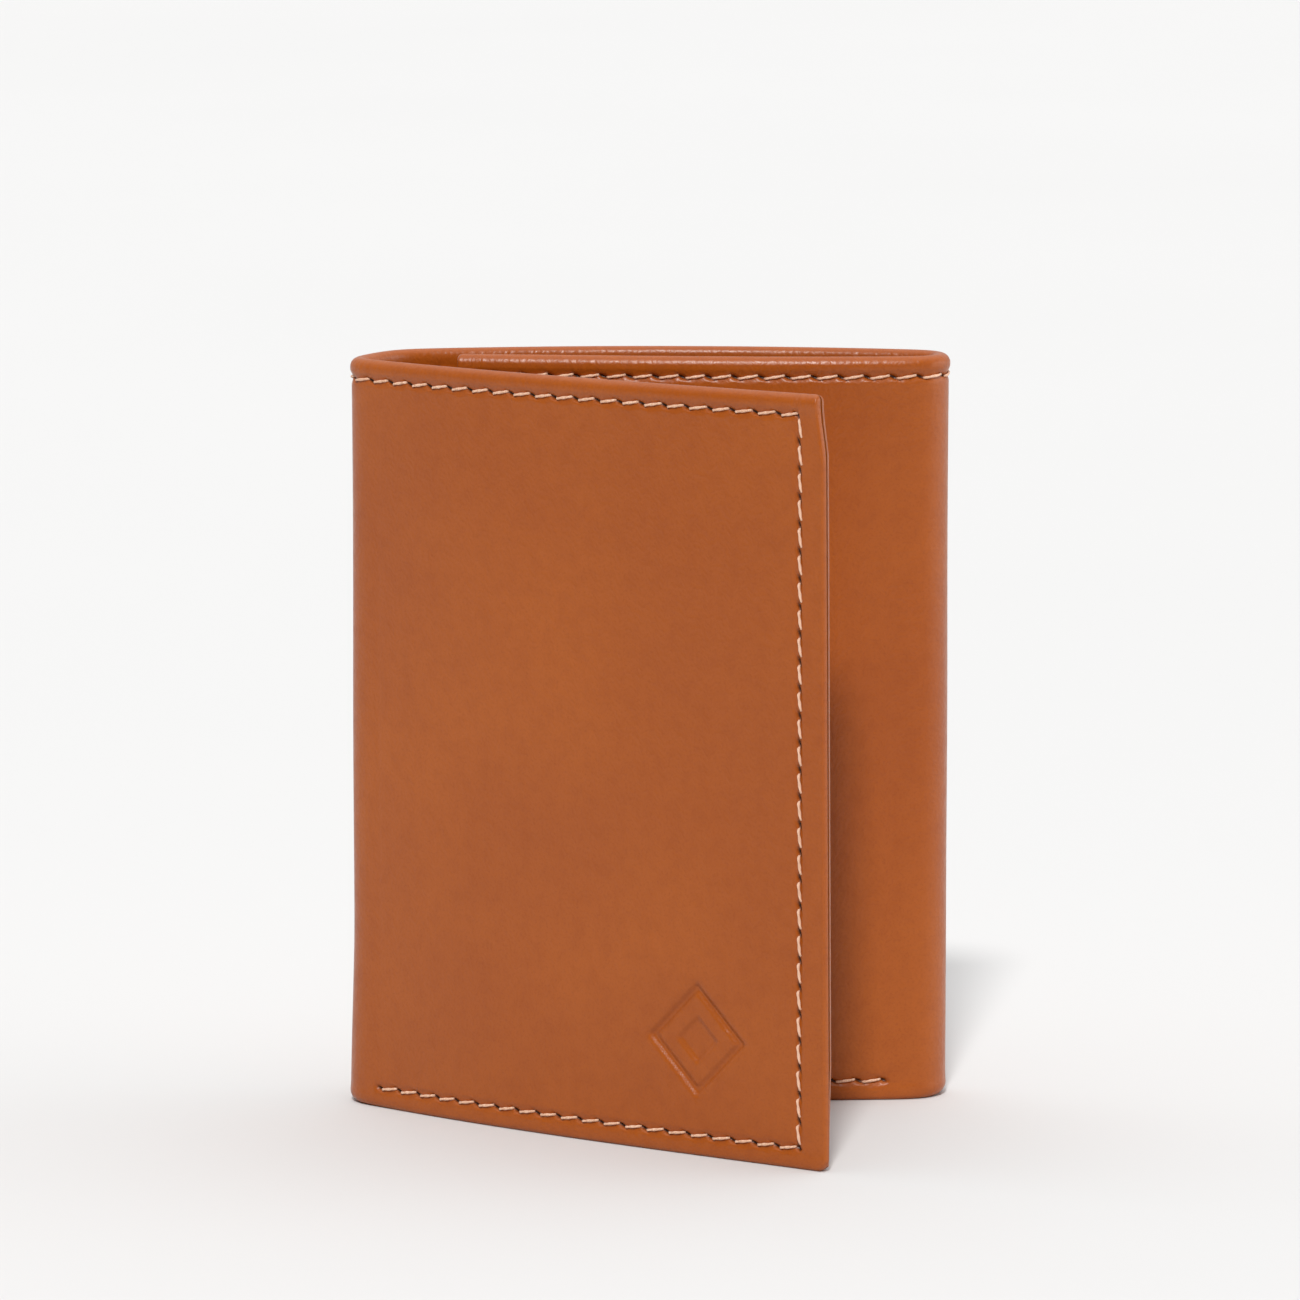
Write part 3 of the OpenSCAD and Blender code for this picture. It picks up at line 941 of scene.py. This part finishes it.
def loops_mesh(name, material, loops):
    """A closed skin over loops of points, each given as s, t and z. The last one joins the first."""
    points = np.stack([place(s, t, z) for s, t, z in loops])
    count, size = points.shape[:2]
    index = np.arange(count * size).reshape(count, size)
    following = np.roll(index, -1, 0)
    quads = np.stack([index, np.roll(index, -1, 1), np.roll(following, -1, 1), following], -1)
    mesh = bpy.data.meshes.new(name)
    mesh.from_pydata(points.reshape(-1, 3).tolist(), [], quads.reshape(-1, 4).tolist())
    all_s = np.concatenate([s for s, t, z in loops])
    all_z = np.concatenate([z for s, t, z in loops])
    vertex = np.array([loop.vertex_index for loop in mesh.loops])
    uv = np.stack([all_s[vertex], all_z[vertex]], -1) * MM
    mesh.uv_layers.new(name="UVMap").data.foreach_set("uv", uv.ravel())
    face_outwards(mesh)
    mesh.shade_smooth()
    mesh.materials.append(material)
    return add(name, mesh)


def make_window_frame():
    """The leather frame: a flat border with a creased line near its inner edge."""
    back, face = FILM_FACE + SKIN, FRAME_FACE
    # The inset from the frame's outer edge and the depth of each line round it
    section = (
        (0.0, back),
        (0.0, face - 0.18),
        (0.12, face - 0.03),
        (0.45, face),
        (BORDER / 2, face + 0.02),
        (BORDER - 1.7, face),
        (BORDER - 1.5, face - 0.12),
        (BORDER - 1.3, face),
        (BORDER - 0.35, face),
        (BORDER - 0.08, face - 0.06),
        (BORDER, face - 0.22),
        (BORDER, back),
    )
    loops = []
    for inset, t in section:
        radius = 3.0 + 0.6 * (inset / BORDER)
        s, z = rounded_loop(FRAME_HALF_W - inset, FRAME_HALF_H - inset, radius)
        loops.append((s, np.full(len(s), t), z))
    piece = loops_mesh("window_frame", POCKET_LEATHER, loops)
    ride_for(piece, "flap", "id_window_frame")


def make_window_sheet(name, node, back, face, material, slot):
    """A thin flat sheet behind the frame, a little smaller than it."""
    half_w, half_h = FRAME_HALF_W - SHEET_INSET, FRAME_HALF_H - SHEET_INSET
    rows = np.linspace(WINDOW_Z - half_h, WINDOW_Z + half_h, 20)
    outline = slab_outline(WINDOW_Z - half_h, WINDOW_Z + half_h, face, back, rows)
    ring = slab_ring(outline, lambda s, t, z: (t, 0 * t))
    columns = columns_between(WINDOW_S - half_w, WINDOW_S + half_w, 2.0)
    piece = sweep(name, material, columns, ring)
    ride_for(piece, "flap", node)


def make_window():
    film = (FILM_BACK + 0.02, FILM_FACE, FILM, "window")
    backing = (PANEL_FACE + SKIN, FILM_BACK - 0.02, LINING_CLOTH, "lining")
    make_window_frame()
    make_window_sheet("window_film", "id_window", *film)
    make_window_sheet("window_backing", "id_card_backing", *backing)


# ---- thread ----
def stitch_mesh(name, stitches):
    """Every stitch is a two-ply thread that comes out of one needle slit and dives into the next.
    It lies on a face of depth(s, z), towards the outside of the wallet where side is -1."""
    rings, sides = 13, 10
    ply_relief, twist, taper = 0.17, 3.2, 0.55
    arch_height, arch_sink = 0.34, 0.22
    along = np.linspace(-1, 1, rings)[:, None]
    turn = np.linspace(0, 2 * math.pi, sides, endpoint=False)[None, :]
    ply = 1 + ply_relief * np.cos(2 * (turn - along * twist))
    radius = THREAD_RADIUS * ply * np.sqrt(np.maximum(1 - taper * np.abs(along) ** 6, 0))
    across, up = radius * np.cos(turn), radius * np.sin(turn)
    arch = arch_height * np.sqrt(np.maximum(1 - along**4, 0)) - arch_sink
    index = np.arange(rings * sides).reshape(rings, sides)
    beside = np.roll(index, -1, 1)
    quads = np.stack([index[:-1], beside[:-1], beside[1:], index[1:]], -1).reshape(-1, 4)
    tube = quads.tolist() + [index[0][::-1].tolist(), index[-1].tolist()]
    points, faces = [], []
    for s0, z0, angle, half, depth, side in stitches:
        a = along * half
        s = s0 + a * math.cos(angle) - across * math.sin(angle)
        z = z0 + a * math.sin(angle) + across * math.cos(angle)
        t = depth(s, z) + side * (arch + up)
        base = len(points)
        points += place(s, t, z).reshape(-1, 3).tolist()
        faces += [[base + k for k in face] for face in tube]
    mesh = bpy.data.meshes.new(name)
    mesh.from_pydata(points, [], faces)
    face_outwards(mesh)
    mesh.shade_smooth()
    mesh.materials.append(THREAD)
    return add(name, mesh)


def outer_depth(s, z):
    return OUTER_FACE + THREAD_SINK - puff(s, z) - fold_swell(s, z)


def hem_depth(s, z):
    return HEM_FACE - INNER_SINK + 0 * s


def sewn_panel_depth(s, z):
    return PANEL_FACE - pinch(s, z) - INNER_SINK


def make_thread(segment):
    """The stitches of a segment on both sides, each a little different in direction and length."""
    stitches = []
    rng = np.random.default_rng(len(segment.name))
    for number, row in enumerate(ROWS):
        inner_depth = hem_depth if number == 0 else sewn_panel_depth
        turned = 0.0 if row.along == "s" else math.pi / 2
        for s0, z0 in zip(*row.centres()):
            if not segment.holds(s0):
                continue
            angle = turned + rng.normal(0, TURN_SPREAD) - SLANT
            half = row.pitch * STITCH_SHARE / 2 * (1 + rng.normal(0, LENGTH_SPREAD))
            stitches.append((s0, z0, angle, half, outer_depth, -1))
            stitches.append((s0, z0, angle, half, inner_depth, 1))
    piece = stitch_mesh(f"{segment.name}_stitching", stitches)
    stand_in(piece, segment, "thread")


for part in SEGMENTS:
    make_leather(part)
    make_lining(part)
    make_inner_panel(part)
    make_thread(part)
for owner in ("cover", "middle"):
    for number in (1, 2, 3):
        make_pocket(owner, number)
make_window()


# ---- studio ----
def make_floor():
    side = 4.0
    corners = [(-side, -side, 0), (side, -side, 0), (side, side, 0), (-side, side, 0)]
    mesh = bpy.data.meshes.new("floor")
    mesh.from_pydata(corners, [], [(0, 1, 2, 3)])
    paper = Shader("floor_paper", Roughness=0.9, Specular_IOR_Level=0.1)
    where = paper.add("ShaderNodeTexCoord").outputs["Object"]
    tone = paper.noise(where, 3.0, 2.0)
    colour = paper.mix(tone, (0.680, 0.680, 0.680, 1), (0.695, 0.695, 0.695, 1))
    mesh.materials.append(paper.use(Base_Color=colour))
    add("floor", mesh)


def make_sun(name, azimuth, elevation, angle, strength, colour):
    """A distant soft light. Azimuth 0 shines from the front, -Y, and a positive one from the right."""
    data = bpy.data.lights.new(name, "SUN")
    data.energy, data.angle, data.color = strength, math.radians(angle), colour
    lamp = add(name, data)
    a, e = math.radians(azimuth), math.radians(elevation)
    towards = Vector((math.sin(a) * math.cos(e), -math.cos(a) * math.cos(e), math.sin(e)))
    lamp.rotation_euler = towards.to_track_quat("Z", "Y").to_euler()


def make_camera():
    """Looks along +Y from a little above and far away, as for a studio picture of a small object."""
    target = Vector((0.0, -0.0141, 0.06547))
    distance, elevation = 1.175, math.radians(7.9)
    data = bpy.data.cameras.new("camera")
    data.lens, data.sensor_width = 226.3, 36.0
    camera = add("camera", data)
    back = Vector((0, -math.cos(elevation), math.sin(elevation)))
    camera.location = target + back * distance
    camera.rotation_euler = (-back).to_track_quat("-Z", "Y").to_euler()
    bpy.context.scene.camera = camera


def make_world():
    """Studio walls: dark behind the camera, bright behind the object, overhead and at the right."""
    world = bpy.data.worlds.new("studio")
    bpy.context.scene.world = world
    world.use_nodes = True
    nodes, links = world.node_tree.nodes, world.node_tree.links
    where = nodes.new("ShaderNodeTexCoord")
    axes = nodes.new("ShaderNodeSeparateXYZ")
    links.new(where.outputs["Generated"], axes.inputs[0])
    total = None
    for axis, low, high, dark, bright in WALLS:
        wall = nodes.new("ShaderNodeMapRange")
        wall.interpolation_type = "SMOOTHSTEP"
        wall.inputs["From Min"].default_value = low
        wall.inputs["From Max"].default_value = high
        wall.inputs["To Min"].default_value = dark
        wall.inputs["To Max"].default_value = bright
        links.new(axes.outputs[axis], wall.inputs["Value"])
        if total is None:
            total = wall.outputs[0]
        else:
            both = nodes.new("ShaderNodeMath")
            links.new(total, both.inputs[0])
            links.new(wall.outputs[0], both.inputs[1])
            total = both.outputs[0]
    nodes["Background"].inputs["Color"].default_value = (1, 1, 1, 1)
    links.new(total, nodes["Background"].inputs["Strength"])


make_floor()
make_camera()
make_world()
make_sun("key", azimuth=-5.2, elevation=44, angle=6.5, strength=2.35, colour=(1.0, 0.99, 0.975))
bpy.context.scene.view_settings.view_transform = "Standard"
